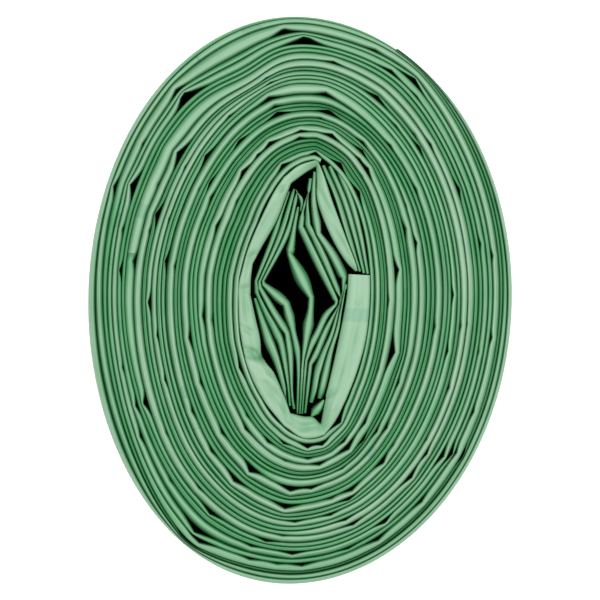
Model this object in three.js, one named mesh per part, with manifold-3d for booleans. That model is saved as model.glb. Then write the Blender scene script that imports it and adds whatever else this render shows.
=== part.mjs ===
// A coreless roll of thin film sacks, standing on one end.
//
// The film is blown as one long flat tube, folded lengthwise into a narrow web, heat sealed and
// perforated once per sack, and wound on itself, anticlockwise outwards as seen from above. Wound
// with no core, the roll settles into a dented oval with a collapsed centre. Each sack is a body of
// its own: a sleeve that holds the turns the sack makes in the spiral, with a step inside where it
// starts and a step outside where it ends at the perforation. The first sack is the crumpled first
// lap and the collapsed folds inside it. The last one ends in a loose flap, which lifts off the roll
// about the line where it leaves it.
//
// Millimetres, +Z along the roll, origin at the centre of the foot.

import * as THREE from "three";
import { mergeVertices } from "three/addons/utils/BufferGeometryUtils.js";
import Module from "manifold-3d";

const wasm = await Module();
wasm.setup();

// Driving dimensions
const ROLL_LENGTH = 100; // the flat tube is 400 mm wide, folded twice
// Ovals: half width, half height, centre, lean to the right in degrees, and how far they are egg-shaped
const OUTER = { a: 26.5, b: 35.3, x: 0, y: 0, lean: 1.4, egg: 0.22 }; // the whole roll
const CORE = { a: 7.4, b: 16.7, x: 0.7, y: 0.2, lean: 1.4, egg: 0 }; // what the first sack fills
const SACKS = 12;
const TURNS = 28.14; // laps from the inner end of the web to its loose outer edge
const START_ANGLE = THREE.MathUtils.degToRad(5); // where the first lap starts
const FLAP_TURNS = 0.13; // the share of a turn that hangs loose
const CLEARANCE = 0.3; // air between neighbouring sacks
const STEPS = 48; // facets in one turn
const LAP_DEPTH = 1.9; // the first lap's wide folds stand this far inside the core oval
const LEAF_THICKNESS = 0.8; // one fold of the collapsed web

// Where the turns have settled out of the even oval: at this angle in degrees and about so far to
// each side, the turns between two shares of the build are lifted by a share of it, or sag.
const DENTS = [
  { angle: -130, spread: 16, from: 0.66, peak: 0.89, to: 1, lift: 0.05 }, // lower left corner
  { angle: 49, spread: 16, from: 0.5, peak: 0.87, to: 1, lift: 0.045 }, // upper right corner
  { angle: 118, spread: 17, from: 0.45, peak: 0.78, to: 1, lift: -0.08 }, // flat stretch, upper left
  { angle: -172, spread: 20, from: 0.7, peak: 0.88, to: 1, lift: -0.035 }, // flat stretch, left
  { angle: 172, spread: 26, from: 0, peak: 0.3, to: 0.6, lift: 0.03 }, // inner bulge, left
];

// The folds of the collapsed centre, each a line through the points where it is creased.
const LEAVES = [
  { name: "left fold", points: [[1.5, 16.6], [-0.4, 13.2], [-5.3, 2.0], [-1.5, -0.6], [0.2, -5.6], [0.0, -16.0]] },
  { name: "left lower fold", points: [[-5.4, 1.6], [-2.7, -3.2], [-1.3, -11.8], [-0.7, -16.0]] },
  { name: "left outer fold", points: [[-5.6, -1.4], [-3.6, -5.6], [-1.5, -10.5], [-1.2, -15.6]] },
  { name: "middle fold", points: [[1.8, 16.6], [0.3, 11.8], [-0.9, 5.6], [1.8, 0.1], [0.2, -12.4], [0.1, -16.0]] },
  { name: "right fold", points: [[2.0, 16.6], [0.0, 8.9], [4.6, -0.2], [1.3, -7.4], [0.7, -16.0]] },
  { name: "right upper fold", points: [[2.1, 16.6], [2.3, 8.0], [6.6, 1.8]] },
  { name: "broad right fold", points: [[2.5, 16.6], [4.5, 11.6], [7.4, 4.0]] },
  { name: "right lower fold", points: [[6.6, 2.8], [5.1, -3.8], [2.2, -11.0], [1.3, -16.0]] },
];

// The point of an oval where its outward normal has this angle. `reach` is how far the oval extends
// in that direction, and `slope` is how that grows with the angle.
function ovalPoint({ a, b, x, y, lean, egg }, angle) {
  const turned = angle + THREE.MathUtils.degToRad(lean);
  const [c, s] = [Math.cos(turned), Math.sin(turned)];
  const ellipse = Math.hypot(a * c, b * s);
  const reach = ellipse + egg * Math.cos(3 * angle);
  const slope = ((b ** 2 - a ** 2) * s * c) / ellipse - 3 * egg * Math.sin(3 * angle);
  return new THREE.Vector2(reach, slope).rotateAround(new THREE.Vector2(), angle).add({ x, y });
}

// How far the turns at this share of the build are lifted by the dents, as a share of the build.
function settling(share, angle) {
  let lift = 0;
  for (const dent of DENTS) {
    const degrees = THREE.MathUtils.euclideanModulo(THREE.MathUtils.radToDeg(angle) - dent.angle + 180, 360) - 180;
    const rise = THREE.MathUtils.smoothstep(share, dent.from, dent.peak);
    const fall = 1 - THREE.MathUtils.smoothstep(share, dent.peak, dent.to);
    lift += dent.lift * Math.exp(-((degrees / dent.spread) ** 2)) * Math.min(rise, fall);
  }
  return lift;
}

// The boundary between turns: at `turn` turns from the start, pushed out by `offset`.
function spiralPoint(turn, offset) {
  const angle = START_ANGLE + 2 * Math.PI * turn;
  const share = turn / (TURNS + 1);
  const inner = ovalPoint(CORE, angle);
  const outer = ovalPoint(OUTER, angle);
  const outward = new THREE.Vector2(Math.cos(angle), Math.sin(angle));
  return inner.lerp(outer, share + settling(share, angle)).addScaledVector(outward, offset);
}

// Points of the boundary from one turn to another, at angles that all turns share.
function spiralRun(from, to, offset) {
  const turns = [from];
  for (let i = Math.ceil(from * STEPS + 0.2); i < to * STEPS - 0.2; i++) turns.push(i / STEPS);
  turns.push(to);
  return turns.map((turn) => spiralPoint(turn, offset));
}

// The turns' lengths grow evenly from the core's perimeter to the roll's, so the web's length up to
// a turn is a parabola.
function ovalPerimeter({ a, b }) {
  const h = ((a - b) / (a + b)) ** 2;
  return Math.PI * (a + b) * (1 + (3 * h) / (10 + Math.sqrt(4 - 3 * h)));
}
const innerPerimeter = ovalPerimeter(CORE);
const perimeterGrowth = (ovalPerimeter(OUTER) - innerPerimeter) / (TURNS + 1);
function lengthAtTurn(turn) {
  return innerPerimeter * turn + (perimeterGrowth * turn ** 2) / 2;
}
function turnAtLength(length) {
  return (Math.sqrt(innerPerimeter ** 2 + 2 * perimeterGrowth * length) - innerPerimeter) / perimeterGrowth;
}

// The solid's vertices are merged, so that it can be joined to another.
function toSolid(geometry) {
  const bare = geometry.clone();
  bare.deleteAttribute("normal");
  bare.deleteAttribute("uv");
  const merged = mergeVertices(bare, 1e-4);
  return new wasm.Manifold(
    new wasm.Mesh({
      numProp: 3,
      vertProperties: new Float32Array(merged.attributes.position.array),
      triVerts: new Uint32Array(merged.index.array),
    }),
  );
}

function toGeometry(solid) {
  const mesh = solid.getMesh();
  const geometry = new THREE.BufferGeometry();
  geometry.setAttribute("position", new THREE.BufferAttribute(mesh.vertProperties, 3));
  geometry.setIndex(new THREE.BufferAttribute(mesh.triVerts, 1));
  return geometry.toNonIndexed();
}

// A hole is only turned the right way round inside an anticlockwise outline.
function extrude(outline, hole) {
  const shape = new THREE.Shape(THREE.ShapeUtils.isClockWise(outline) ? outline.reverse() : outline);
  if (hole) shape.holes.push(new THREE.Path(hole));
  return new THREE.ExtrudeGeometry(shape, { depth: ROLL_LENGTH, bevelEnabled: false });
}

// A strip of even thickness along a line through points. At a crease its sides meet on the bisector,
// no further out than SHARPEST_CREASE half thicknesses.
const SHARPEST_CREASE = 1.6;
function strip(points, thickness) {
  const line = points.map(([x, y]) => new THREE.Vector2(x, y));
  const normals = line.slice(1).map((point, i) => {
    const along = point.clone().sub(line[i]).normalize();
    return new THREE.Vector2(-along.y, along.x);
  });
  const sides = line.map((point, i) => {
    const before = normals[Math.max(i - 1, 0)];
    const after = normals[Math.min(i, normals.length - 1)];
    const bisector = before.clone().add(after).normalize();
    return bisector.multiplyScalar((thickness / 2) * Math.min(1 / bisector.dot(before), SHARPEST_CREASE));
  });
  const left = line.map((point, i) => point.clone().add(sides[i]));
  const right = line.map((point, i) => point.clone().sub(sides[i]));
  return extrude([...right, ...left.reverse()]);
}

// Where each sack ends, in turns. The first one fills the centre and ends after one lap; the others
// share the rest of the web, and the last of them ends where the flap starts.
const lapEnd = lengthAtTurn(1);
const sackLength = (lengthAtTurn(TURNS) - lapEnd) / (SACKS - 1);
const flapStart = TURNS - FLAP_TURNS;
const perforations = Array.from({ length: SACKS }, (_, k) => turnAtLength(lapEnd + k * sackLength));
perforations[SACKS - 1] = flapStart;

// Half of the gap at a perforation, as a share of the turn there.
const half = CLEARANCE / 2;
function notchTurns(turn) {
  return half / (innerPerimeter + perimeterGrowth * turn);
}

// The sack that starts at one perforation and ends at the next.
function sleeve(start, end) {
  const from = start + notchTurns(start);
  const to = end - notchTurns(end);
  return extrude(spiralRun(to, to + 1, -half), spiralRun(from, from + 1, half));
}

function centreSack() {
  const to = perforations[0] - notchTurns(perforations[0]);
  const lapInside = spiralRun(0, 1, -LAP_DEPTH).slice(0, -1);
  let solid = toSolid(extrude(spiralRun(to, to + 1, -half), lapInside));
  const lap = toSolid(extrude(spiralRun(0.5, 1.5, -half).slice(0, -1)));
  for (const leaf of LEAVES) solid = solid.add(toSolid(strip(leaf.points, LEAF_THICKNESS)).intersect(lap));
  return toGeometry(solid);
}

// The loose end of the last sack, a curved strip that lies on the roll.
function flap() {
  const from = flapStart + notchTurns(flapStart);
  const inside = spiralRun(from, TURNS, half);
  const outside = spiralRun(from + 1, TURNS + 1, -half);
  return extrude([...inside, ...outside.reverse()]);
}

const FILM = { roughness: 0.5, metalness: 0 };
const FILM_SHADES = [0x9ac5a3, 0x8fbd9a]; // so that neighbouring sacks can be told apart

const group = new THREE.Group();
function addSack(number, suffix, geometry) {
  const material = new THREE.MeshStandardMaterial({ color: FILM_SHADES[number % 2], ...FILM });
  const mesh = new THREE.Mesh(geometry, material);
  mesh.name = `sack_${String(number).padStart(2, "0")}${suffix}`;
  group.add(mesh);
}

addSack(1, "", centreSack());
for (let k = 1; k < SACKS; k++) addSack(k + 1, "", sleeve(perforations[k - 1], perforations[k]));
addSack(SACKS, "_free_end", flap());

// The origin goes to the centre of the foot.
const centre = new THREE.Box3().setFromObject(group).getCenter(new THREE.Vector3());
group.position.set(-centre.x, -centre.y, 0);

export default group;
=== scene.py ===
"""Looks for a coreless roll of thin film sacks, standing on one end.

The web is a film tube folded lengthwise, so each end of the roll shows the crests of its folds. The
web is laid out station by station along its spiral, with its own width, height and creases at each
end of the roll, and each sack is the stretch of it between two perforations. Working units are
millimetres, and the meshes are scaled to metres when they are made.
"""

import math
from collections import namedtuple

import bpy
import numpy as np
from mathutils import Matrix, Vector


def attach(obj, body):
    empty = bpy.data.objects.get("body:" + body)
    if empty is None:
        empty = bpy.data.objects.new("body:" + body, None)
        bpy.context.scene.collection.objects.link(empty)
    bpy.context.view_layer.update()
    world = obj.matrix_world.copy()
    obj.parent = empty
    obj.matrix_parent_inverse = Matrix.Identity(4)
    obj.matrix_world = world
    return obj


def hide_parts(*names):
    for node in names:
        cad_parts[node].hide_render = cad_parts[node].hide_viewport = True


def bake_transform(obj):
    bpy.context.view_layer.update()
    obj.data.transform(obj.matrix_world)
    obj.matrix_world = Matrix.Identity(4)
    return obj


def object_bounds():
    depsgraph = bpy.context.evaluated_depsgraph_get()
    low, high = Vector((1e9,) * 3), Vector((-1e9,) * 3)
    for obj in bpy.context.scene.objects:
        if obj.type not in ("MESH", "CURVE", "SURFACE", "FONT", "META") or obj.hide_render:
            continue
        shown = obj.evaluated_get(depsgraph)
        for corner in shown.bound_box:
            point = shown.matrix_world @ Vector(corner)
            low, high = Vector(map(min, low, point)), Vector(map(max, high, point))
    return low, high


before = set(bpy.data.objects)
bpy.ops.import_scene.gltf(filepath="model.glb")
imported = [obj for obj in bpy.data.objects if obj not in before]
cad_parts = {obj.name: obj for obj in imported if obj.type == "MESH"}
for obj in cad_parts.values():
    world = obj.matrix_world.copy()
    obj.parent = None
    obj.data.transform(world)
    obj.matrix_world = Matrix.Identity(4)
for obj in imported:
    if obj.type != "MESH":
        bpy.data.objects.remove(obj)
CAD_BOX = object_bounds()

# The roll: its ends' outlines as the photograph has them, and the CAD model's own turns
Oval = namedtuple("Oval", "a b x y lean egg")
OUTER = Oval(a=26.24, b=35.16, x=-0.34, y=0.1, lean=1.4, egg=0.22)
CORE = Oval(a=7.4, b=16.7, x=0.7, y=0.2, lean=1.4, egg=0.0)
LENGTH = (CAD_BOX[1].z - CAD_BOX[0].z) * 1000
GIRTH = 196  # round the outside, which sets where the perforations come
SACKS = 12
TURNS = 28.14
START_DEGREES = 5
START_ANGLE = math.radians(START_DEGREES)
FLAP_TURNS = 0.13
TIP_THICKNESS = 0.4  # the free end's tip is pressed to this share of a turn's thickness
TIP_FOR = 30  # over this many stations
BENT = 24  # the point this many stations past the free end's root is placed, though nothing bends the free end

STEPS = 480  # stations in one turn of the web
GAP = 0.02  # air between touching turns
THINNEST = 0.16  # a turn is never squeezed thinner than this
BUILD = OUTER.a - CORE.a  # how deep the wound turns are
SEAL_START, SEAL_END = 4.0, 5.8  # the heat seal, from where a sack is torn off

# Broad dents, where the turns have settled out of the even oval. Angles are in degrees; the turns
# between two shares of the build are lifted by a share of it, or sag.
Dent = namedtuple("Dent", "angle spread start peak end lift")
DENTS = [
    Dent(-130, 16, 0.66, 0.89, 1, 0.05),
    Dent(49, 16, 0.5, 0.87, 1, 0.045),
    Dent(118, 17, 0.45, 0.78, 1, -0.08),
    Dent(-172, 20, 0.7, 0.88, 1, -0.035),
    Dent(172, 26, 0, 0.3, 0.6, 0.03),
]

# How the web's crest changes along its length: from each turn on it has this width, as a share of
# the mean, is sunk this far below the end plane, and shows this deep a line between its two folds.
Band = namedtuple("Band", "turn width sunk line")
BANDS = [
    Band(0.0, 0.95, 0.15, 0.04),
    Band(1.35, 1.0, 0.1, 0.06),
    Band(2.3, 0.95, 0.15, 0.06),
    Band(3.05, 0.72, 0.75, 0.1),
    Band(5.55, 1.4, 0.05, 0.05),
    Band(7.5, 0.72, 0.75, 0.1),
    Band(9.65, 1.3, 0.05, 0.05),
    Band(11.05, 0.75, 0.65, 0.1),
    Band(13.15, 1.65, 0.0, 0.05),
    Band(14.3, 0.75, 0.45, 0.08),
    Band(16.3, 1.1, 0.1, 0.06),
    Band(17.5, 0.75, 0.5, 0.08),
    Band(18.75, 1.4, 0.0, 0.06),
    Band(20.3, 1.9, 0.0, 0.05),
    Band(20.52, 0.75, 0.5, 0.08),
    Band(22.5, 1.15, 0.1, 0.06),
    Band(23.6, 0.8, 0.4, 0.06),
    Band(24.6, 1.5, 0.05, 0.06),
    Band(25.45, 0.6, 1.2, 0.04),
    Band(26.1, 0.95, 0.15, 0.06),
    Band(27.0, 0.55, 0.9, 0.04),
    Band(27.35, 0.8, 0.15, 0.06),
]
RAISED_END = 8  # this sack's torn end stands up beside the next one, which is sunk by so much
SUNK_START = 0.5
SUNK_FOR = 5  # and comes level again over this length


def oval_points(oval, angle):
    """The points of an oval where its outward normal has these angles."""
    turned = angle + math.radians(oval.lean)
    c, s = np.cos(turned), np.sin(turned)
    ellipse = np.hypot(oval.a * c, oval.b * s)
    reach = ellipse + oval.egg * np.cos(3 * angle)
    slope = (oval.b**2 - oval.a**2) * s * c / ellipse - 3 * oval.egg * np.sin(3 * angle)
    x = oval.x + reach * np.cos(angle) - slope * np.sin(angle)
    y = oval.y + reach * np.sin(angle) + slope * np.cos(angle)
    return np.stack([x, y], axis=-1)


def oval_perimeter(oval):
    h = ((oval.a - oval.b) / (oval.a + oval.b)) ** 2
    return math.pi * (oval.a + oval.b) * (1 + 3 * h / (10 + math.sqrt(4 - 3 * h)))


INNER_PERIMETER = oval_perimeter(CORE)
PERIMETER_GROWTH = (GIRTH - INNER_PERIMETER) / (TURNS + 1)


def length_at_turn(turn):
    return INNER_PERIMETER * turn + PERIMETER_GROWTH * turn**2 / 2


def turn_at_length(length):
    root = math.sqrt(INNER_PERIMETER**2 + 2 * PERIMETER_GROWTH * length)
    return (root - INNER_PERIMETER) / PERIMETER_GROWTH


SACK_LENGTH = (length_at_turn(TURNS) - length_at_turn(1)) / (SACKS - 1)
ENDS = [turn_at_length(length_at_turn(1) + k * SACK_LENGTH) for k in range(SACKS)]


def even_angles():
    """The stations' angles in one turn, and their spacing, even along the oval halfway out."""
    fine = START_ANGLE + np.linspace(0, 2 * math.pi, 20 * STEPS + 1)
    middle = (oval_points(CORE, fine) + oval_points(OUTER, fine)) / 2
    steps = np.linalg.norm(np.diff(middle, axis=0), axis=1)
    run = np.concatenate([[0], np.cumsum(steps)])
    return np.interp(np.linspace(0, run[-1], STEPS + 1), run, fine), run[-1] / STEPS


TURN_ANGLES, SPACING = even_angles()


def station(turn):
    """The station nearest to this turn of the spiral."""
    whole = math.floor(turn)
    angle = START_ANGLE + 2 * math.pi * (turn - whole)
    return whole * STEPS + round(float(np.interp(angle, TURN_ANGLES, np.arange(STEPS + 1))))


LAST = station(TURNS)
STATIONS = np.arange(LAST + STEPS + 1)
ANGLE = TURN_ANGLES[STATIONS % STEPS]
TURN = STATIONS // STEPS + (ANGLE - START_ANGLE) / (2 * math.pi)


def smooth(x):
    x = np.clip(x, 0, 1)
    return x * x * (3 - 2 * x)


def along_bands(field, ramp=0.1):
    """One of the bands' values at every station, turning smoothly from band to band."""
    value = np.full(len(TURN), getattr(BANDS[0], field), float)
    for before, band in zip(BANDS, BANDS[1:]):
        change = getattr(band, field) - getattr(before, field)
        value += change * smooth((TURN - band.turn) / ramp + 0.5)
    return value


Uneven = namedtuple("Uneven", "by every")  # how much a value wanders, and its stations between knots


def wander(seed, every):
    """Smooth noise from -1 to 1 along the web, with a new value every so many stations."""
    rng = np.random.default_rng(seed)
    knots = rng.uniform(-1, 1, len(STATIONS) // every + 2)
    place = STATIONS / every
    whole = place.astype(int)
    return knots[whole] + (knots[whole + 1] - knots[whole]) * smooth(place - whole)


def settled(share):
    """Adds the dents to how far out each station's boundary lies."""
    degrees = np.degrees(ANGLE)
    lift = np.zeros(len(share))
    for dent in DENTS:
        away = (degrees - dent.angle + 180) % 360 - 180
        rise = smooth((share - dent.start) / (dent.peak - dent.start))
        fall = 1 - smooth((share - dent.peak) / (dent.end - dent.peak))
        lift += dent.lift * np.exp(-((away / dent.spread) ** 2)) * np.minimum(rise, fall)
    return share + lift


# How far the first lap reaches beyond the core oval, in millimetres, at angles round it, after the
# place where the second sack's layers fan out beside it. The turns outside hug it.
LAP_EDGE = {
    78: 0.3, 90: 0.05, 110: -0.2, 150: -0.4, 163: -0.2, 175: 0.7, 187: 0.75, 205: 0.0,
    228: -0.2, 255: 0.05, 285: 0.6, 303: 0.95, 318: 0.65, 338: 0.25, 352: 0.4, 365: 0.5,
}
FANNED_TURNS = 0.17  # the stretch of the second sack whose layers are fanned out
CUT_END_UNTIL = 48  # up to this angle, the turns hug the first lap's cut end
TURN_UNEVEN = [Uneven(0.14, 75), Uneven(0.12, 230)]  # how the width of a turn varies along the web


def wound():
    """How far out each boundary between turns lies, as a share of the build, before any creases."""
    width = along_bands("width") * (1 + sum(
        amount.by * wander(seed, amount.every) for seed, amount in enumerate(TURN_UNEVEN, 11)
    ))
    out = np.zeros(len(TURN))
    out[:STEPS] = TURN[:STEPS]
    for start in range(STEPS, len(TURN), STEPS):
        here = slice(start, min(start + STEPS, len(TURN)))
        below = slice(start - STEPS, here.stop - STEPS)
        out[here] = out[below] + width[below]
    rim = np.arange(len(TURN) - STEPS, len(TURN))
    scale = np.empty(STEPS)
    last_width = 1 - out[-STEPS - 1] / out[-1]
    scale[rim % STEPS] = (1 - last_width * (TURN[-1] - TURN[rim])) / out[rim]
    share = out * scale[STATIONS % STEPS]
    cut_end = LAP_EDGE[START_DEGREES + 360] - BUILD * (share[2 * STEPS] - share[STEPS])
    angles = [START_DEGREES, CUT_END_UNTIL, *LAP_EDGE]
    reach = [cut_end, cut_end, *LAP_EDGE.values()]
    edge = np.interp(np.degrees(TURN_ANGLES[:STEPS]), angles, reach)
    shift = ((edge + GAP) / BUILD - share[STEPS : 2 * STEPS])[STATIONS % STEPS]
    return settled(share + shift * np.clip(1 - share, 0, 1) ** 1.5)


BOUNDARY = wound()

# Creases, where a turn is buckled away from the one inside it and leaves a dark pocket: the angle
# in degrees, how far out as a share of the build, and how far it is lifted.
Crease = namedtuple("Crease", "angle share lift")
TOP_CREASES = [
    # upper right corner to the right side, where the outer turns are tight
    Crease(4, 0.21, 0.35), Crease(-11, 0.21, 0.69), Crease(-7, 0.87, 0.25), Crease(-20, 0.87, 0.2),
    Crease(-28, 0.90, 0.41), Crease(-29, 0.84, 0.47), Crease(-30, 0.79, 0.51),
    Crease(-39, 0.695, 0.47), Crease(-40, 0.455, 0.3), Crease(-41, 0.475, 0.25),
    Crease(-39, 0.235, 0.38), Crease(-47, 0.225, 0.6), Crease(-39, 0.05, 0.63),
    Crease(-42, 0.85, 0.3), Crease(-57, 0.86, 0.41), Crease(-53, 0.80, 0.3),
    Crease(-57, 0.47, 0.41), Crease(-61, 0.51, 0.35), Crease(-63, 0.69, 0.35),
    Crease(-71, 0.222, 0.38), Crease(-63, 0.10, 0.51), Crease(-82, 0.075, 0.57),
    Crease(-68, 0.83, 0.2), Crease(-86, 0.85, 0.38), Crease(-90, 0.78, 0.38),
    # foot of the oval
    Crease(-97, 0.46, 0.57), Crease(-96, 0.33, 0.63), Crease(-80, 0.35, 0.38),
    Crease(-107, 0.84, 0.25), Crease(-103, 0.69, 0.3), Crease(-108, 0.775, 0.2),
    # lower left corner
    Crease(-130, 0.93, 0.57), Crease(-126, 0.87, 0.51), Crease(-130, 0.82, 0.69),
    Crease(-130, 0.687, 0.47), Crease(-131, 0.456, 0.51), Crease(-128, 0.32, 0.51),
    Crease(-117, 0.06, 0.3), Crease(-150, 0.35, 0.25), Crease(-163, 0.68, 0.44),
    Crease(-163, 0.767, 0.3), Crease(-174, 0.36, 0.3), Crease(-167, 0.066, 0.3),
    # left side
    Crease(173.5, 0.7, 0.35), Crease(175, 0.767, 0.35), Crease(180, 0.571, 0.38),
    Crease(173, 0.475, 0.35), Crease(165, 0.594, 0.57), Crease(162, 0.889, 0.38),
    Crease(161, 0.81, 0.75), Crease(152, 0.60, 0.69), Crease(149, 0.462, 0.41),
    Crease(148, 0.21, 0.44), Crease(155, 0.347, 0.3), Crease(138, 0.79, 0.94),
    Crease(139, 0.88, 0.38), Crease(138, 0.33, 0.38), Crease(126, 0.177, 0.44),
    Crease(129, 0.033, 0.44), Crease(112, 0.433, 0.41), Crease(110, 0.318, 0.54),
    # upper left, where the turns run straight between two corners
    Crease(88, 0.80, 0.82), Crease(95, 0.87, 0.44), Crease(94, 0.209, 0.3), Crease(75, 0.462, 0.41),
    Crease(72, 0.35, 0.57), Crease(64, 0.215, 0.51), Crease(77, 0.06, 0.44), Crease(52, 0.61, 0.51),
    Crease(46, 0.866, 0.63), Crease(53, 0.837, 0.38), Crease(42, 0.263, 0.41),
    Crease(45, 0.08, 0.63), Crease(33, 0.222, 0.51), Crease(31, 0.61, 0.35), Crease(26, 0.05, 0.51),
    Crease(19, 0.725, 0.41), Crease(9, 0.347, 0.2),
]
SMALL_CREASE = (0.05, 0.3)  # the lift of the small creases that puckered turns have all along
CREASE_EVERY = (14, 90)  # and how far apart they are, in stations
PUCKERED = 1.05  # turns at least this wide have them
PASSED_ON = 0.32  # a crease lifted by more than this lifts the turns outside it too
PASSED_TO = 15  # at most so many of them
CREASE_SPREAD = 11  # the square of how far a crease spreads along the web, for each mm of its lift
CREASE_FLARE = 0.15  # and how much further it spreads at each turn outside it


def nearest_boundary(angle, share):
    """The station of the boundary nearest to a place given by its angle and share of the build."""
    column = round(float(np.interp(
        (math.radians(angle) - START_ANGLE) % (2 * math.pi) + START_ANGLE,
        TURN_ANGLES, np.arange(STEPS + 1),
    ))) % STEPS
    rows = np.arange(column, len(BOUNDARY), STEPS)
    return int(rows[np.argmin(np.abs(BOUNDARY[rows] - share))])


def small_creases(seed):
    """Small creases along the wide turns, as pairs of a station and a lift."""
    rng = np.random.default_rng(seed)
    width = along_bands("width")
    found = []
    place = STEPS
    while place < LAST:
        if width[place] > PUCKERED:
            found.append((place, rng.uniform(*SMALL_CREASE)))
        place += int(rng.integers(*CREASE_EVERY))
    return found


def creased(creases):
    """The web's inner and outer faces at every station, as shares of the build, once creased."""
    under = BOUNDARY.copy()
    over = BOUNDARY.copy()
    for place, lift in creases:
        base = max(1 - BOUNDARY[place], 0.02)
        for layer in range(1 + PASSED_TO if lift > PASSED_ON else 1):
            centre = place + layer * STEPS
            if centre >= len(BOUNDARY):
                break
            passed = 1
            if layer > 0:
                passed = (1 - PASSED_ON / lift) * math.exp(-(layer - 1) / (1 + 3 * lift))
            fade = passed * (1 - BOUNDARY[centre]) / base
            arc = (INNER_PERIMETER + PERIMETER_GROWTH * TURN[centre]) / STEPS
            spread = math.sqrt(CREASE_SPREAD * lift) * (1 + CREASE_FLARE * layer)
            reach = int(spread / arc) + 1
            low, high = max(0, centre - reach), min(len(BOUNDARY), centre + reach + 1)
            away = np.hypot((np.arange(low, high) - centre) * arc, 0.22 * layer)
            rise = lift / BUILD * fade * np.clip(1 - away / spread, 0, 1) ** 1.7
            under[low:high] += rise
            if layer > 0:
                over[low:high] += rise
    over[-STEPS - 1:] = np.minimum(over[-STEPS - 1:], BOUNDARY[-STEPS - 1:])
    for stop in range(len(BOUNDARY) - STEPS, 0, -STEPS):
        here = slice(max(stop - STEPS, 0), stop)
        outside = slice(here.start + STEPS, here.stop + STEPS)
        under[here] = np.minimum(under[here], over[outside] - THINNEST / BUILD)
        over[here] = np.minimum(over[here], under[here])
    under, over = under[: LAST + 1], over[STEPS:]  # at each station, the web lies between the two
    thinned = TIP_THICKNESS + (1 - TIP_THICKNESS) * smooth((LAST - STATIONS[: LAST + 1]) / TIP_FOR)
    return under, under + (over - under) * thinned


def placed(share, angle, offset=0.0):
    """Points at a share of the build, pushed out by an offset."""
    inner, outer = oval_points(CORE, angle), oval_points(OUTER, angle)
    outward = np.stack([np.cos(angle), np.sin(angle)], axis=-1)
    return inner + (outer - inner) * share[:, None] + outward * offset


hand_creases = [(nearest_boundary(c.angle, c.share), c.lift) for c in TOP_CREASES]
TOP_FACES = creased(hand_creases + small_creases(3))
FOOT_FACES = creased(small_creases(8) + [(p + 37, 0.8 * h) for p, h in hand_creases[::2]])

# The CAD model's origin is the centre of its foot, and so is the centre of this outline.
rim = placed(BOUNDARY[-STEPS:], ANGLE[-STEPS:])
ORIGIN = (rim.min(axis=0) + rim.max(axis=0)) / 2

# Across a crest, from the inner face to the outer one
ACROSS = np.array([
    0, 0.04, 0.1, 0.17, 0.25, 0.33, 0.41, 0.47, 0.52, 0.57, 0.64, 0.71, 0.77, 0.83, 0.9, 0.96, 1,
])
LINE_AT, SECOND_LINE_AT = 0.52, 0.77  # where the lines between two folds are, across a crest
LINE_WIDTH, SECOND_LINE_WIDTH = 0.07, 0.05
# How uneven the crests are along the web
SUNK_UNEVEN = Uneven(0.3, 60)  # as a share of how far their band is sunk
SUNK_OWN, OWN_UNEVEN = 0.05, Uneven(0.05, 25)
SAGGING = Uneven(0.3, 150)  # now and then a stretch of them sags by as much as this
LINE_SHARE, LINE_UNEVEN = 0.6, Uneven(0.9, 45)
PEAK, PEAK_UNEVEN = 0.34, Uneven(0.16, 60)  # the highest point, across a crest
SLUMP, SLUMP_UNEVEN = 0.75, Uneven(0.5, 80)  # how far the outer edge is down, for each mm of width


def crest_drop(width, line, peak, slump):
    """How far a crest is below its highest line, at each point across it, for each station. It rounds
    down on its inner side, and slopes down to its outer one by its slump."""
    peak, slump = peak[:, None], slump[:, None]
    across = ACROSS[None, :]
    inner = np.clip((peak - across) / peak, 0, 1)
    outer = np.clip((across - peak) / (1 - peak), 0, 1)
    tight = np.clip(0.9 * width, 0.3, 0.7)[:, None] * inner**3
    loose = slump * outer**2.6 + 0.2 * outer**8
    middle = line[:, None] * np.exp(-(((across - LINE_AT) / LINE_WIDTH) ** 2))
    second = line * np.clip((width - 0.6) / 0.3, 0, 1)  # only a wide crest shows another line
    beside = np.exp(-(((across - SECOND_LINE_AT) / SECOND_LINE_WIDTH) ** 2))
    return tight + loose + middle + second[:, None] * beside


def uneven(middle, amount, seed):
    """A value at every station that wanders about its middle."""
    return middle + amount.by * wander(seed, amount.every)


def web_end(faces, first, last, seed):
    """One end of a stretch of web: its points across the crest, and their drop below the plane."""
    angle = ANGLE[first:last]
    inner = placed(faces[0][first:last], angle, GAP / 2)
    outer = placed(faces[1][first:last], angle, -GAP / 2)
    width = np.linalg.norm(outer - inner, axis=1)
    flat = inner[:, None] + (outer - inner)[:, None] * ACROSS[None, :, None]
    sunk = along_bands("sunk") * uneven(1, SUNK_UNEVEN, seed) + uneven(SUNK_OWN, OWN_UNEVEN, seed + 1)
    sunk += np.clip(uneven(0, SAGGING, seed + 5), 0, None)
    after = SPACING * (STATIONS - station(ENDS[RAISED_END - 1]))
    sunk += np.where(after > 0, SUNK_START * np.exp(-after / SUNK_FOR), 0)
    line = along_bands("line") * np.clip(uneven(LINE_SHARE, LINE_UNEVEN, seed + 2), 0, 1.4)
    peak = uneven(PEAK, PEAK_UNEVEN, seed + 3)
    slump = uneven(SLUMP, SLUMP_UNEVEN, seed + 4)[first:last] * np.clip(width, 0.3, 1.0)
    drop = crest_drop(width, line[first:last], peak[first:last], slump)
    return flat - ORIGIN, drop + sunk[first:last, None]


def wall_row(top, foot, share):
    """A row of points along one face of the film, at a share of the roll's length above its foot."""
    flat = foot + (top - foot) * smooth((share - 0.04) / 0.92)
    return np.concatenate([flat, np.full((len(flat), 1), share * LENGTH)], axis=1)
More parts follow.
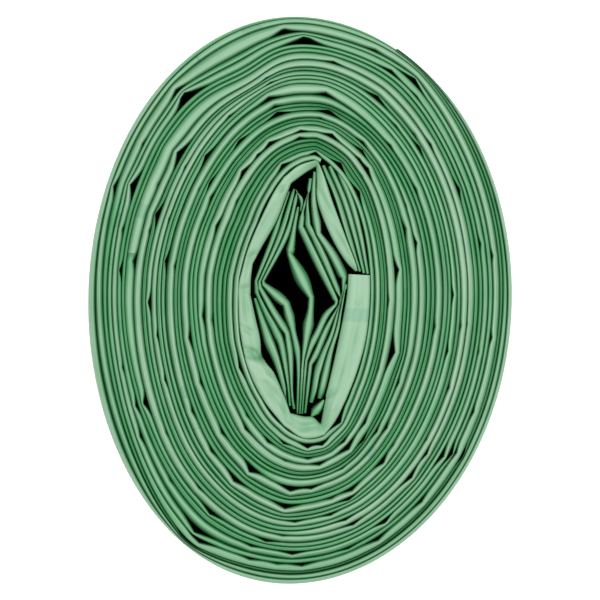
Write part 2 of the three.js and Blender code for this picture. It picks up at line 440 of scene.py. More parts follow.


# The two sides of a strip: the shares of the length where each has a row of points, how a row is
# laid, and how deep in the folds the material takes each side to be, for its painted shade.
Sides = namedtuple("Sides", "outer_rows outer_row inner_rows inner_row outer_depth inner_depth")
PLAIN_ROWS = np.array([0.04, 0.96])
# Painted shade: the material paints points this deep near black.
INSIDE = 4.0  # as deep as the material goes, where no light comes
PLAIN_SIDES = Sides(PLAIN_ROWS, wall_row, PLAIN_ROWS, wall_row, INSIDE, INSIDE)


def closed_strip(top, top_drop, foot, foot_drop, run, cut, sides=PLAIN_SIDES, shade=1.0):
    """A closed strip from its two ends: its points, what the film's material reads there, and its
    faces. `run` is each station's distance along the strip and `cut` where the sack is torn off.
    `shade` is how strongly painted shade darkens its ends by their own depth."""
    count = len(top)
    outer_side = np.ones((count, len(sides.outer_rows)))
    inner_side = np.ones((count, len(sides.inner_rows)))
    top3 = np.concatenate([top, (LENGTH - top_drop)[..., None]], axis=-1)
    foot3 = np.concatenate([foot, foot_drop[..., None]], axis=-1)[:, ::-1]
    down = [sides.outer_row(top[:, -1], foot[:, -1], share) for share in sides.outer_rows[::-1]]
    up = [sides.inner_row(top[:, 0], foot[:, 0], share) for share in sides.inner_rows]
    ring = np.concatenate([top3, np.stack(down, axis=1), foot3, np.stack(up, axis=1)], axis=1)
    # Painted shade: the depth told to the material darkens the film; a bare outer side gets less of it
    # towards its outer edge, and hidden sides are painted near black.
    bare = 1 - np.clip(sides.outer_depth, 0, 1)  # a bare outer side lets light in at its edge
    painted_shade_share = shade * (1 - bare * np.clip(2 * ACROSS - 0.6, 0, 1))
    depth = [
        top_drop * painted_shade_share, outer_side * sides.outer_depth,
        (foot_drop * painted_shade_share)[:, ::-1], inner_side * sides.inner_depth,
    ]
    across = [ACROSS + 0 * top_drop, outer_side, ACROSS[::-1] + 0 * top_drop, 0 * inner_side]
    size = ring.shape[1]
    here = np.arange(count - 1)[:, None] * size + np.arange(size)[None, :]
    beside = np.arange(count - 1)[:, None] * size + (np.arange(size)[None, :] + 1) % size
    quads = np.stack([here, here + size, beside + size, beside], axis=-1).reshape(-1, 4)
    caps = [list(range(size)), list(range(count * size - 1, (count - 1) * size - 1, -1))]
    told = {
        "along": np.repeat(run, size),
        "to_cut": np.repeat(np.abs(cut - run), size),
        "depth": np.concatenate(depth, axis=1).ravel(),
        "across": np.concatenate(across, axis=1).ravel(),
    }
    return ring.reshape(-1, 3), told, quads.tolist() + caps


SHARP_ANGLE = math.radians(100)  # only the edges folded back further than this are sharp


def add_piece(name, strips, material):
    """One piece made of closed strips of film."""
    faces = []
    total = 0
    for points, _, strip_faces in strips:
        faces += [[corner + total for corner in face] for face in strip_faces]
        total += len(points)
    mesh = bpy.data.meshes.new(name)
    points = np.concatenate([strip[0] for strip in strips]) / 1000
    mesh.from_pydata(points.tolist(), [], faces)
    for told in strips[0][1]:
        layer = mesh.attributes.new(told, "FLOAT", "POINT")
        values = np.concatenate([strip[1][told] for strip in strips])
        layer.data.foreach_set("value", values.astype(np.float32))
    mesh.validate()
    mesh.materials.append(material)
    mesh.shade_smooth()
    mesh.set_sharp_from_angle(angle=SHARP_ANGLE)
    for face in mesh.polygons:
        face.use_smooth = len(face.vertices) <= 4  # the cut ends are flat
    piece = bpy.data.objects.new(name, mesh)
    bpy.context.scene.collection.objects.link(piece)
    return piece


OUTER_ROWS = np.linspace(0.012, 0.988, 64)
BUCKLES = 70  # the outermost turn has this many shallow creases
BUCKLE_LENGTH = (5, 30)
BUCKLE_WIDTH = (0.4, 1.1)
BUCKLE_DEPTH = (0.15, 0.55)
BUCKLE_HEADING = (90, 32)  # their mean heading in degrees, from along the web, and its spread
BUCKLED_TURNS = 1.2  # at the end of the web
PUCKER_DEPTH, PUCKER_REACH = 0.16, 5  # by the ends, where the folds turn over
FOLD_STEP = 0.12
PROUD = 0.5  # how far the loose outermost turn stands proud of the turns inside it
PROUD_FROM = 14  # so far from the ends
COVERED = 12  # the outermost film comes out from under its neighbour over this many stations
FOLD_HEIGHTS = (0.26, 0.5, 0.73)  # where the edges of the folds inside show through, of the length


def buckled(run, height):
    """How far the bare film is pressed in at a height, at each distance along the web."""
    rng = np.random.default_rng(5)
    buckled_length = BUCKLED_TURNS * STEPS * SPACING
    start = SPACING * LAST - buckled_length
    depth = 0.06 + 0.05 * np.sin(run / 7.3 + 2 * np.sin(height / 31)) * np.sin(run / 17.9 + height / 40)
    for _ in range(BUCKLES):
        x = rng.uniform(start, start + buckled_length)
        z = rng.uniform(0, LENGTH)
        heading = math.radians(rng.normal(*BUCKLE_HEADING))
        long = rng.uniform(*BUCKLE_LENGTH) / 2
        deep = rng.uniform(*BUCKLE_DEPTH)
        wide = rng.uniform(*BUCKLE_WIDTH)
        ahead = (run - x) * math.cos(heading) + (height - z) * math.sin(heading)
        aside = (height - z) * math.cos(heading) - (run - x) * math.sin(heading)
        depth = depth + deep * np.exp(-((ahead / long) ** 2) - np.abs(aside) / wide)
    for share in FOLD_HEIGHTS:
        edge = share * LENGTH + 1.2 * np.sin(run / 23 + 9 * share)
        depth = depth + FOLD_STEP * smooth((height - edge) / 1.5 + 0.5)
    pucker = PUCKER_DEPTH * (0.5 + 0.5 * np.sin(run / 1.9 + 2.5 * np.sin(run / 6.1)))
    for from_end in (height, LENGTH - height):
        depth = depth + pucker * math.exp(-from_end / PUCKER_REACH)
    return depth


def web_sides(first, last):
    """The sides of a stretch of web, whose outer one is buckled where it is in the open."""
    stations = STATIONS[first : last + 1]
    bare = smooth((stations - LAST + (1 + FLAP_TURNS) * STEPS) / COVERED)
    if bare[-1] == 0:
        return PLAIN_SIDES
    outermost = smooth((stations - LAST + STEPS) / COVERED)
    outward = np.stack([np.cos(ANGLE[stations]), np.sin(ANGLE[stations])], axis=1)
    thickness = BUILD * (TOP_FACES[1] - TOP_FACES[0])[stations]
    run = SPACING * stations

    def outer_row(top, foot, share):
        """A row of the outer side: the film stands proud between the ends, less where it buckles."""
        row = wall_row(top, foot, share)
        proud = PROUD * smooth(LENGTH * min(share, 1 - share) / PROUD_FROM)
        pressed = np.minimum(buckled(run, share * LENGTH), proud + 0.35 * thickness)
        row[:, :2] += outward * (outermost * (proud - pressed))[:, None]
        return row

    # Painted shade of the sides: near black where a turn covers them, none where the film is bare.
    inner_depth = 0 if first >= station(TURNS - FLAP_TURNS) else INSIDE
    outer_depth = INSIDE * (1 - bare[:, None])
    return Sides(OUTER_ROWS, outer_row, PLAIN_ROWS, wall_row, outer_depth, inner_depth)


def web_strip(first, last, torn=None):
    """The web from one station to another, with a thin cut between it and the next stretch. The sack
    is torn off at a later station where the stretch isn't its last one."""
    top, top_drop = web_end(TOP_FACES, first, last + 1, 20)
    foot, foot_drop = web_end(FOOT_FACES, first, last + 1, 40)
    for points in (top, foot):
        points[-1] += 0.1 * (points[-2] - points[-1])
    run = SPACING * STATIONS[first : last + 1]
    cut = SPACING * (torn or last)
    return closed_strip(top, top_drop, foot, foot_drop, run, cut, web_sides(first, last))


def through(stops, spacing=0.35):
    """A smooth line through stops, each with any numbers beside its x and y, at about an even
    spacing."""
    stops = np.array(stops, float)
    steps = np.linalg.norm(np.diff(stops[:, :2], axis=0), axis=1)
    before = np.vstack([2 * stops[0] - stops[1], stops, 2 * stops[-1] - stops[-2]])
    found = []
    for k, step in enumerate(steps):
        a, b, c, d = before[k : k + 4]
        t = np.linspace(0, 1, max(2, int(step / spacing)), endpoint=False)[:, None]
        pull_b, pull_c = (c - a) / 2, (d - b) / 2
        found.append(
            (2 * t**3 - 3 * t**2 + 1) * b + (t**3 - 2 * t**2 + t) * pull_b
            + (3 * t**2 - 2 * t**3) * c + (t**3 - t**2) * pull_c
        )
    return np.vstack([*found, stops[-1:]])


def creased_line(runs, bulge=0.0, spacing=0.35):
    """A line that is smooth in each run of stops and creased where one run meets the next. Its width,
    the third number of a stop, bulges in the middle of each run."""
    lines = [through(run, spacing) for run in runs]
    for line in lines:
        line[:, 2] *= 1 + bulge * np.sin(np.linspace(0, math.pi, len(line)))
    return np.vstack(lines)


# A fold of the collapsed centre. Each run of stops is smooth, and the fold is creased between runs.
# A stop is its x and y, the fold's width there, and how far its crest is sunk.
FOLDS = {
    "left inner": [
        [(-0.3, 13.3, 0.45, 0.9), (-1.6, 8.1, 0.6, 0.5), (-4.5, 2.3, 0.5, 0.7)],
        [(-4.4, 1.9, 0.5, 0.7), (-1.7, -0.5, 0.7, 0.4)],
        [
            (-1.6, -0.8, 0.7, 0.4), (-0.8, -4.0, 0.8, 0.5), (-0.2, -7.6, 0.5, 0.6),
            (-0.3, -14.0, 0.3, 1.4),
        ],
    ],
    "left middle": [
        [(-0.7, 13.6, 0.4, 1.0), (-2.4, 8.0, 0.55, 0.6), (-4.95, 2.2, 0.45, 0.8)],
        [(-4.9, 1.5, 0.5, 0.8), (-3.3, -1.3, 0.9, 0.5), (-1.6, -4.0, 0.7, 0.5)],
        [
            (-1.5, -4.4, 0.7, 0.5), (-1.15, -7.1, 0.9, 0.5), (-0.95, -11.6, 0.4, 0.8),
            (-0.7, -13.4, 0.25, 1.4),
        ],
    ],
    "left outer": [
        [(-1.3, 13.3, 0.4, 0.9), (-3.3, 7.6, 0.5, 0.7), (-5.4, 2.3, 0.4, 0.9)],
        [(-5.3, 0.9, 0.4, 1.0), (-4.2, -1.5, 0.6, 0.8), (-3.2, -3.4, 0.8, 0.6)],
        [
            (-3.1, -3.6, 0.8, 0.6), (-2.36, -5.2, 0.8, 0.5), (-1.85, -7.6, 0.8, 0.6),
            (-1.4, -10.6, 0.5, 0.8), (-1.2, -13.0, 0.3, 1.4),
        ],
    ],
    "left broad": [
        [(-5.5, 0.2, 0.4, 1.4), (-4.75, -2.2, 0.9, 0.7), (-3.9, -4.8, 1.4, 0.4)],
        [
            (-3.8, -5.1, 1.4, 0.4), (-2.85, -7.5, 1.3, 0.4), (-2.1, -10.2, 1.0, 0.6),
            (-1.6, -12.6, 0.4, 1.4),
        ],
    ],
    "top small": [
        [(-0.5, 13.5, 0.35, 1.0), (0.2, 12.2, 0.5, 0.8), (0.1, 10.9, 0.35, 1.2)],
    ],
    "middle": [
        [
            (-0.2, 11.4, 0.4, 1.0), (-0.6, 9.4, 0.6, 0.7), (-1.15, 6.2, 0.7, 0.5),
            (-1.25, 5.8, 0.5, 0.6),
        ],
        [(-1.2, 5.5, 0.5, 0.6), (0.25, 2.6, 0.8, 0.5), (1.4, 0.3, 0.5, 0.6)],
        [
            (1.4, 0.0, 0.5, 0.6), (1.28, -1.55, 0.5, 0.5), (0.8, -4.6, 0.9, 0.5),
            (0.4, -7.4, 0.5, 0.6), (0.25, -9.6, 0.45, 0.7), (0.0, -14.0, 0.3, 1.4),
        ],
    ],
    "right inner": [
        [(0.95, 13.0, 0.4, 0.9), (0.4, 10.9, 0.5, 0.6), (0.1, 9.0, 0.6, 0.5)],
        [(0.15, 8.8, 0.6, 0.5), (2.3, 4.3, 1.1, 0.4), (4.5, -0.2, 0.6, 0.6)],
        [
            (4.4, -0.6, 0.4, 0.7), (3.2, -1.9, 0.6, 0.5), (2.25, -3.9, 0.9, 0.5),
            (1.5, -5.4, 0.8, 0.5), (0.85, -7.3, 0.5, 0.6),
        ],
        [(0.8, -7.5, 0.5, 0.6), (0.62, -9.5, 0.5, 0.6), (0.3, -14.0, 0.3, 1.4)],
    ],
    "right middle": [
        [(1.3, 14.9, 0.35, 0.9), (0.95, 12.0, 0.4, 0.7), (0.95, 9.3, 0.5, 0.6)],
        [(1.0, 9.1, 0.5, 0.6), (3.1, 4.8, 0.6, 0.5), (5.0, 0.3, 0.45, 0.7)],
        [
            (4.85, -0.6, 0.4, 0.7), (3.3, -3.6, 0.6, 0.6), (2.1, -6.4, 0.9, 0.5),
            (1.35, -7.8, 0.6, 0.6),
        ],
        [(1.3, -8.0, 0.6, 0.6), (1.0, -10.7, 0.5, 0.7), (0.65, -13.9, 0.3, 1.4)],
    ],
    "right outer": [
        [(1.8, 15.7, 0.4, 0.7), (1.7, 12.1, 0.8, 0.3), (2.25, 8.4, 0.8, 0.4)],
        [(2.3, 8.1, 0.8, 0.4), (4.0, 5.6, 1.1, 0.3), (5.45, 2.7, 0.8, 0.6)],
        [
            (5.3, 1.0, 0.5, 0.9), (4.05, -3.8, 0.8, 0.5), (2.9, -6.6, 1.0, 0.5),
            (2.15, -8.8, 1.1, 0.45), (1.75, -11.0, 1.1, 0.6), (1.35, -12.6, 0.5, 1.3),
        ],
    ],
    "right broad": [
        [
            (5.65, 1.9, 0.5, 1.0), (5.0, -1.6, 0.7, 0.7), (4.6, -3.7, 0.9, 0.5),
            (3.75, -6.4, 1.1, 0.45), (3.15, -9.0, 1.1, 0.5), (2.75, -10.8, 1.0, 0.6),
            (2.4, -12.1, 0.8, 1.3),
        ],
    ],
    "foot small": [
        [
            (2.95, -12.3, 0.6, 0.6), (2.4, -13.1, 1.1, 0.4), (1.65, -14.0, 1.1, 0.7),
            (1.1, -14.8, 0.7, 1.3),
        ],
    ],
}
# Where the second sack starts, its layers fan out behind the cut end of the first.
FANNED = {
    "inner layer": [
        [(7.4, 3.5, 0.4, 0.9), (6.1, 7.7, 0.5, 0.6), (4.65, 12.4, 0.5, 0.6), (2.9, 16.5, 0.3, 0.9)],
    ],
    "middle layer": [
        [
            (7.9, 3.3, 0.42, 0.8), (6.8, 7.9, 0.5, 0.5), (5.5, 12.2, 0.5, 0.5),
            (3.7, 16.4, 0.35, 0.8),
        ],
    ],
    "outer layer": [
        [
            (8.35, 3.2, 0.4, 0.7), (7.45, 8.0, 0.5, 0.4), (6.3, 12.2, 0.5, 0.5),
            (4.7, 16.0, 0.35, 0.8),
        ],
    ],
}


# The first lap, a wide crumpled band round the centre, from where it starts under its own cut end,
# over the top, down the left, round the foot and up the right to that end. A stop is a point on its
# outer edge, one on its inner edge, and how far each is sunk. It is creased between runs.
LAP = [
    [
        (7.1, 3.6, 6.8, 3.5, 0.5, 0.7), (6.8, 4.7, 5.55, 4.8, 0.2, 0.5),
        (5.6, 7.8, 3.85, 7.7, 0.1, 0.4), (4.05, 12.0, 2.2, 11.9, 0.1, 0.35),
        (3.0, 15.2, 2.05, 14.7, 0.2, 0.5), (2.15, 17.2, 2.0, 16.3, 0.4, 0.9),
    ],
    [
        (2.05, 17.2, 1.9, 16.3, 0.4, 0.9), (-0.1, 16.5, 0.7, 15.6, 0.05, 0.35),
        (-1.9, 15.1, -0.95, 14.4, 0.1, 0.3),
    ],
    [
        (-2.0, 15.0, -1.1, 14.2, 0.1, 0.3), (-3.3, 13.0, -1.8, 12.4, 0.0, 0.3),
        (-4.85, 9.8, -2.9, 9.6, 0.0, 0.4), (-6.3, 6.4, -4.6, 6.6, 0.0, 0.3),
        (-7.0, 4.0, -5.75, 4.5, 0.15, 0.2),
    ],
    [
        (-7.05, 3.8, -5.8, 4.3, 0.15, 0.2), (-7.4, 2.4, -6.0, 2.6, 0.0, 0.3),
        (-7.6, 1.1, -6.05, 0.8, 0.2, 0.4),
    ],
    [
        (-7.6, 0.9, -6.05, 0.6, 0.2, 0.4), (-7.45, -2.6, -5.4, -2.4, 0.0, 0.3),
        (-7.2, -4.7, -4.9, -4.6, 0.05, 0.35), (-6.85, -6.6, -4.75, -6.6, 0.25, 0.6),
    ],
    [
        (-6.8, -6.8, -4.6, -7.0, 0.4, 1.3), (-6.6, -7.7, -4.0, -7.9, 0.05, 0.25),
        (-5.8, -9.8, -3.2, -8.9, 0.0, 0.1), (-4.9, -11.6, -2.45, -10.5, 0.05, 0.1),
    ],
    [
        (-4.8, -11.7, -2.35, -10.8, 0.05, 0.1), (-3.9, -13.1, -1.75, -12.2, 0.0, 0.25),
        (-2.0, -15.4, -1.2, -13.8, 0.1, 0.3),
    ],
    [
        (-1.9, -15.5, -1.15, -13.9, 0.1, 0.3), (0.2, -16.9, 0.4, -14.3, 0.05, 0.4),
        (1.8, -16.95, 1.6, -14.4, 0.2, 0.5), (3.0, -16.6, 2.5, -15.2, 0.4, 0.8),
    ],
    [
        (3.1, -16.5, 2.6, -15.1, 0.4, 0.8), (4.4, -14.8, 2.9, -13.4, 0.2, 0.5),
        (5.6, -12.4, 3.2, -12.0, 0.1, 0.35),
    ],
    [
        (5.7, -12.2, 3.2, -11.7, 0.1, 0.35), (6.95, -9.0, 3.9, -8.8, 0.0, 0.3),
        (8.0, -5.3, 4.7, -5.2, 0.0, 0.25), (8.45, -2.1, 5.35, -2.0, 0.0, 0.2),
        (8.6, 0.6, 5.8, 0.7, 0.0, 0.15), (8.62, 3.0, 5.95, 3.15, 0.0, 0.1),
    ],
]


# Wrinkles of the first lap: the middle of each in x and y, its heading in degrees, how long and how
# wide it is, and how deep, or how proud where it is negative.
Wrinkle = namedtuple("Wrinkle", "x y heading long wide deep")
WRINKLES = [
    Wrinkle(-2.3, 13.6, 20, 1.0, 0.5, 0.3), Wrinkle(-1.9, 13.2, 60, 1.8, 0.6, -0.2),
    Wrinkle(-4.3, 9.4, 62, 4.2, 0.5, 0.16), Wrinkle(-5.7, 5.4, 20, 1.2, 0.6, 0.3),
    Wrinkle(-6.2, 4.4, 75, 2.2, 0.6, 0.25), Wrinkle(-6.5, 1.4, 10, 1.4, 0.6, 0.3),
    Wrinkle(-6.6, -1.0, 95, 3.0, 0.5, 0.2), Wrinkle(-6.4, -3.7, -30, 1.8, 0.5, 0.25),
    Wrinkle(-5.7, -6.4, -22, 1.6, 0.5, 0.6), Wrinkle(-5.3, -8.3, -48, 2.6, 0.9, -0.4),
    Wrinkle(-3.6, -8.9, -40, 1.6, 0.6, 0.3), Wrinkle(-3.3, -11.4, -52, 2.6, 0.8, 0.3),
    Wrinkle(-1.7, -13.4, -70, 1.8, 0.6, 0.4), Wrinkle(-0.9, -15.0, -20, 2.4, 0.6, 0.25),
    Wrinkle(0.8, -15.6, 12, 2.4, 0.7, 0.35), Wrinkle(3.5, -11.6, 35, 1.3, 0.5, 0.35),
    Wrinkle(3.9, -13.2, 75, 2.4, 0.8, -0.3), Wrinkle(5.0, -8.6, 74, 6.0, 0.5, 0.22),
    Wrinkle(6.6, -4.6, 78, 5.5, 0.5, 0.14), Wrinkle(6.9, -0.6, 60, 2.0, 0.5, 0.14),
    Wrinkle(3.4, 11.4, -62, 4.6, 0.5, 0.18), Wrinkle(5.2, 7.0, -60, 3.6, 0.5, 0.2),
]


def wrinkled(flat):
    """How deep the wrinkles are at each point."""
    depth = np.zeros(flat.shape[:2])
    for w in WRINKLES:
        heading = math.radians(w.heading)
        x, y = flat[..., 0] - w.x, flat[..., 1] - w.y
        along = x * math.cos(heading) + y * math.sin(heading)
        aside = y * math.cos(heading) - x * math.sin(heading)
        facets = np.clip(1 - np.abs(along / w.long), 0, 1) * np.clip(1 - np.abs(aside / w.wide), 0, 1)
        depth += w.deep * facets
    return depth


LAP_LINE = creased_line(LAP, spacing=0.2)
LAP_OUTER, LAP_INNER, LAP_SUNK = LAP_LINE[:, 0:2], LAP_LINE[:, 2:4], LAP_LINE[:, 4:6]
LAP_ROUNDING = 0.3
SHALLOWEST = 0.05  # no part of the lap comes nearer the end planes
# how strongly painted shade by depth darkens the lap
LAP_SHADE = 0.4


def lap_strip():
    """The first lap, with the crumpling of its film."""
    outer, inner = LAP_OUTER, LAP_INNER
    run = np.concatenate([[0], np.cumsum(np.linalg.norm(np.diff(outer, axis=0), axis=1))])
    flat = inner[:, None] + (outer - inner)[:, None] * ACROSS[None, :, None]
    slope = LAP_SUNK[:, 1:] + (LAP_SUNK[:, :1] - LAP_SUNK[:, 1:]) * ACROSS[None, :]
    away = np.abs(2 * ACROSS - 1)[None, :]
    rounding = LAP_ROUNDING * (1 - np.sqrt(np.clip(1 - away**5, 0, 1)))
    depth = np.maximum(slope + rounding + wrinkled(flat), 0) + SHALLOWEST
    flat = flat - ORIGIN
    return closed_strip(flat, depth, flat, depth, run, run[-1], shade=LAP_SHADE)


FOLD_SPREAD = 1.5  # how much wider than drawn a fold spreads where it has the room
FOLD_BULGE = 0.45  # and how much wider still between two creases
FOLD_GAP = 0.05
FOLD_ROUNDING = 2.0  # how much rounder its crest is than one of the wound turns
FOLD_LINE = 0.03
# how strongly painted shade by depth darkens the folds of the centre
FOLD_SHADE = 0.6
FOLD_PEAK = (0.4, 0.15)  # where its highest line runs across it, and how far that wanders
FOLD_ROWS = np.array([0.04, 0.12, 0.2, 0.3, 0.4, 0.5, 0.6, 0.7, 0.8, 0.88, 0.96])
PINCHED = 0.8  # inside the roll, the folds of the centre are this much closer together
SWAY = 3.0  # and they lean one way above the middle, and the other way below it
PINCHED_TO, PINCHED_OVER = 0.38, 0.2  # from the middle, as shares of the length
CENTRE_REACH = 18  # how far the centre reaches each way along Y


def pinched_row(top, foot, share):
    """A row down one face of a fold of the centre, which is pinched flat inside the roll."""
    row = wall_row(top, foot, share)
    inside = smooth((PINCHED_TO - abs(share - 0.5)) / PINCHED_OVER)
    sway = SWAY * inside * math.sin(2 * math.pi * share)
    row[:, 0] *= 1 - PINCHED * inside
    row[:, 0] += sway * (1 - (row[:, 1] / CENTRE_REACH) ** 2)
    return row


def clearance(points, lines):
    """How far each point is from the nearest of the lines."""
    others = np.vstack(lines)
    return np.linalg.norm(points[:, None] - others[None], axis=2).min(axis=1)


def fold_strips(folds, beside, sides=PLAIN_SIDES):
    """Folds of film along their lines of stops, each as wide as its neighbours leave it room to be.
    `beside` is a line that they all stay clear of."""
    lines = [creased_line(runs, FOLD_BULGE) for runs in folds.values()]
    strips = []
    for number, line in enumerate(lines):
        others = [other[:, :2] for other in lines[:number] + lines[number + 1 :]]
        room = clearance(line[:, :2], others) - FOLD_GAP
        room = np.minimum(room, 2 * (clearance(line[:, :2], [beside]) - FOLD_GAP))
        line[:, 2] = np.clip(np.minimum(FOLD_SPREAD * line[:, 2], room), 0.1, None)
        strips.append(fold_strip(line, sides))
    return strips


def fold_strip(line, sides):
    """One fold of film along a line of x, y, width and drop."""
    points, width, drop = line[:, :2], line[:, 2], line[:, 3]
    ahead = np.diff(points, axis=0)
    ahead /= np.maximum(np.linalg.norm(ahead, axis=1), 1e-6)[:, None]
    before, after = np.vstack([ahead[:1], ahead]), np.vstack([ahead, ahead[-1:]])
    along = before + after
    along /= np.maximum(np.linalg.norm(along, axis=1), 1e-6)[:, None]
    side = np.stack([along[:, 1], -along[:, 0]], axis=1)
    edge = side * (width / 2)[:, None]
    flat = (points - edge)[:, None] + 2 * edge[:, None] * ACROSS[None, :, None] - ORIGIN
    run = np.concatenate([[0], np.cumsum(np.linalg.norm(np.diff(points, axis=0), axis=1))])
    peak = FOLD_PEAK[0] + FOLD_PEAK[1] * np.sin(run / 5 + 3 * points[0, 0])
    line_depth = np.full(len(width), FOLD_LINE)
    crest = crest_drop(width / 2, line_depth, peak, width / 2)
    depth = drop[:, None] + FOLD_ROUNDING * crest
    no_cut = -2 * SEAL_END  # far enough away that the fold shows no seal
    return closed_strip(flat, depth, flat, depth, run, no_cut, sides, FOLD_SHADE)


# Painted shade: the film's colour darkens with how deep in the folds a point lies, down to near black
# inside the roll, standing in for the shade there.
FILM_PAINTED_SHADES = {  # by how deep in the folds, in millimetres
    0.0: (0.182, 0.302, 0.2),
    0.3: (0.124, 0.272, 0.15),
    0.7: (0.052, 0.21, 0.084),
    1.4: (0.02, 0.15, 0.042),
    2.5: (0.006, 0.07, 0.016),
    INSIDE: (0.0, 0.004, 0.001),
}
SEAL_TINT = (0.765, 0.9, 0.897)
SEAL_EDGE = 0.15
STREAKS_ALONG, STREAKS_ACROSS, STREAKS_DOWN = 0.03, 5.0, 900.0  # how fast the streaks change
CLOUDS, GRAIN = 260.0, 2600.0  # for each metre
STREAK_TONE, CLOUD_TONE, CLOUD_SATURATION = 0.09, 0.07, 0.05
ROUGHNESS = (0.4, 0.55)
BUMP_STRENGTH, BUMP_HEIGHT, GRAIN_SHARE = 0.35, 0.00008, 0.4


def attribute(nodes, name):
    node = nodes.new("ShaderNodeAttribute")
    node.attribute_name = name
    return node.outputs["Fac"]


def mapped(nodes, links, value, low, high, to_low, to_high):
    """A value, from one range to another."""
    node = nodes.new("ShaderNodeMapRange")
    node.inputs["From Min"].default_value = low
    node.inputs["From Max"].default_value = high
    node.inputs["To Min"].default_value = to_low
    node.inputs["To Max"].default_value = to_high
    links.new(value, node.inputs["Value"])
    return node.outputs["Result"]


def combined(nodes, links, kind, a, b):
    """Two values put together by a Math node."""
    node = nodes.new("ShaderNodeMath")
    node.operation = kind
    for socket, value in zip(node.inputs, (a, b)):
        if isinstance(value, (int, float)):
            socket.default_value = value
        else:
            links.new(value, socket)
    return node.outputs["Value"]


def noise(nodes, links, vector, scale, detail):
    node = nodes.new("ShaderNodeTexNoise")
    node.inputs["Scale"].default_value = scale
    node.inputs["Detail"].default_value = detail
    links.new(vector, node.inputs["Vector"])
    return node.outputs["Fac"]


def film_material():
    """Thin matt film, pale where it faces out, with painted shade turning it a deeper green and near
    black down between its folds, with the faint streaks of its drawing along it, and a heat seal across
    it near each cut."""
    material = bpy.data.materials.new("film")
    material.use_nodes = True
    nodes, links = material.node_tree.nodes, material.node_tree.links
    shader = nodes["Principled BSDF"]
    shader.inputs["Specular IOR Level"].default_value = 0.3

    place = nodes.new("ShaderNodeTexCoord").outputs["Object"]
    height = nodes.new("ShaderNodeSeparateXYZ")
    links.new(place, height.inputs["Vector"])
    drawn = nodes.new("ShaderNodeCombineXYZ")
    for axis, value, rate in (
        ("X", attribute(nodes, "along"), STREAKS_ALONG),
        ("Y", attribute(nodes, "across"), STREAKS_ACROSS),
        ("Z", height.outputs["Z"], STREAKS_DOWN),
    ):
        links.new(combined(nodes, links, "MULTIPLY", value, rate), drawn.inputs[axis])
    streaks = noise(nodes, links, drawn.outputs["Vector"], 1.0, 3.0)
    clouds = noise(nodes, links, place, CLOUDS, 3.0)
    grain = noise(nodes, links, place, GRAIN, 2.0)

    # Painted shade: this ramp darkens the film by the depth attribute, to near black for what lies
    # inside the roll.
    ramp = nodes.new("ShaderNodeValToRGB")
    stops = ramp.color_ramp.elements
    while len(stops) < len(FILM_PAINTED_SHADES):
        stops.new(0.5)
    for stop, (at, shade) in zip(stops, FILM_PAINTED_SHADES.items()):
        stop.position = at / max(FILM_PAINTED_SHADES)
        stop.color = (*shade, 1)
    deepness = mapped(nodes, links, attribute(nodes, "depth"), 0, max(FILM_PAINTED_SHADES), 0, 1)
    links.new(deepness, ramp.inputs["Fac"])

    to_cut = attribute(nodes, "to_cut")
    entered = mapped(nodes, links, to_cut, SEAL_START, SEAL_START + SEAL_EDGE, 0, 1)
    left = mapped(nodes, links, to_cut, SEAL_END - SEAL_EDGE, SEAL_END, 1, 0)
    seal = nodes.new("ShaderNodeMix")
    seal.data_type = "RGBA"
    seal.blend_type = "MULTIPLY"
    seal.inputs["B"].default_value = (*SEAL_TINT, 1)
    links.new(combined(nodes, links, "MULTIPLY", entered, left), seal.inputs["Factor"])
    links.new(ramp.outputs["Color"], seal.inputs["A"])

    varied = nodes.new("ShaderNodeHueSaturation")
    streaked = mapped(nodes, links, streaks, 0.25, 0.75, -STREAK_TONE, STREAK_TONE)
    clouded = mapped(nodes, links, clouds, 0.25, 0.75, 1 - CLOUD_TONE, 1 + CLOUD_TONE)
    faded = mapped(nodes, links, clouds, 0.3, 0.7, 1 + CLOUD_SATURATION, 1 - CLOUD_SATURATION)
    links.new(combined(nodes, links, "ADD", streaked, clouded), varied.inputs["Value"])
    links.new(faded, varied.inputs["Saturation"])
    links.new(seal.outputs["Result"], varied.inputs["Color"])
    links.new(varied.outputs["Color"], shader.inputs["Base Color"])

    links.new(mapped(nodes, links, clouds, 0.3, 0.7, *ROUGHNESS), shader.inputs["Roughness"])
    bump = nodes.new("ShaderNodeBump")
    bump.inputs["Strength"].default_value = BUMP_STRENGTH
    bump.inputs["Distance"].default_value = BUMP_HEIGHT
    fine = combined(nodes, links, "MULTIPLY", grain, GRAIN_SHARE)
    links.new(combined(nodes, links, "ADD", streaks, fine), bump.inputs["Height"])
    links.new(bump.outputs["Normal"], shader.inputs["Normal"])
    return material


FILM = film_material()

flap_root = station(TURNS - FLAP_TURNS)
starts = [station(1 + FANNED_TURNS), *[station(turn) for turn in ENDS[1:-1]], flap_root]
for number in range(2, SACKS + 1):
    first, last = starts[number - 2 : number]
    strips = [web_strip(first, last, torn=LAST if number == SACKS else None)]
    if number == 2:
        strips += fold_strips(FANNED, LAP_OUTER)
    piece = add_piece(f"film_{number:02d}", strips, FILM)
    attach(piece, "roll")
    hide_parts(f"sack_{number:02d}")

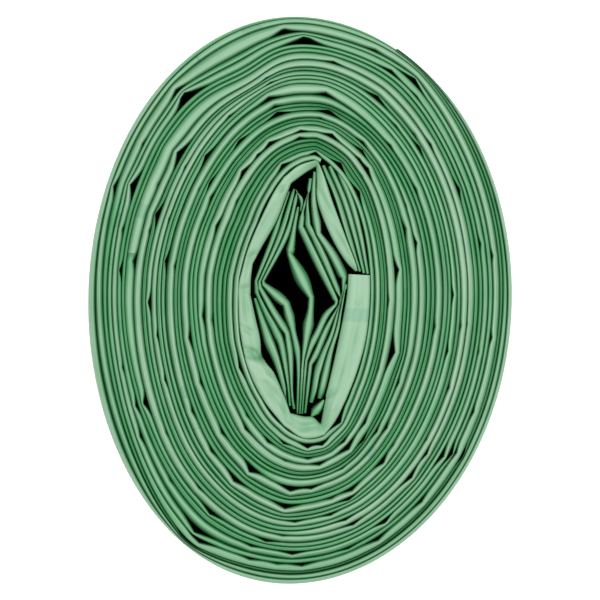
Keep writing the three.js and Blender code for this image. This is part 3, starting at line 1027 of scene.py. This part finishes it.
flap = add_piece("film_12_free_end", [web_strip(flap_root, LAST)], FILM)
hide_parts("sack_12_free_end")
bend = flap_root + np.array([0, BENT])
bend = (placed(BOUNDARY[bend], ANGLE[bend]) - ORIGIN) / 1000
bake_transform(flap)

pinched = Sides(FOLD_ROWS, pinched_row, FOLD_ROWS, pinched_row, INSIDE, INSIDE)
folds = fold_strips(FOLDS, LAP_INNER, pinched)
lap = add_piece("film_01", [lap_strip(), *folds], FILM)
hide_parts("sack_01")
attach(lap, "roll")


def add_floor():
    bpy.ops.mesh.primitive_plane_add(size=6)
    floor = bpy.context.object
    floor.name = "floor"
    material = bpy.data.materials.new("floor")
    material.use_nodes = True
    shader = material.node_tree.nodes["Principled BSDF"]
    shader.inputs["Base Color"].default_value = (0.93, 0.93, 0.93, 1)
    shader.inputs["Roughness"].default_value = 0.9
    shader.inputs["Emission Color"].default_value = (1, 1, 1, 1)
    shader.inputs["Emission Strength"].default_value = 0.3
    floor.data.materials.append(material)


def add_area(name, location, size, power):
    light = bpy.data.lights.new(name, "AREA")
    light.shape = "DISK"
    light.size = size
    light.energy = power
    lamp = bpy.data.objects.new(name, light)
    lamp.location = location
    direction = -lamp.location
    lamp.rotation_euler = direction.to_track_quat("-Z", "Y").to_euler()
    bpy.context.scene.collection.objects.link(lamp)


def add_light():
    world = bpy.data.worlds.new("studio")
    bpy.context.scene.world = world
    world.use_nodes = True
    world.node_tree.nodes["Background"].inputs["Color"].default_value = (1, 1, 1, 1)
    world.node_tree.nodes["Background"].inputs["Strength"].default_value = 0.6
    add_area("overhead", location=(0.1, 0.15, 1.6), size=1.5, power=35)


CAMERA_HEIGHT = 0.6
VIEW_WIDTH = 0.0735


def add_camera():
    """Straight above the roll, as in the photograph."""
    camera = bpy.data.cameras.new("camera")
    camera.sensor_width = 36
    camera.lens = 36 * CAMERA_HEIGHT / VIEW_WIDTH
    camera.clip_end = 10
    viewer = bpy.data.objects.new("camera", camera)
    viewer.location = (0, 0, LENGTH / 1000 + CAMERA_HEIGHT)
    bpy.context.scene.collection.objects.link(viewer)
    bpy.context.scene.camera = viewer


add_floor()
add_light()
add_camera()
bpy.context.scene.view_settings.view_transform = "Standard"
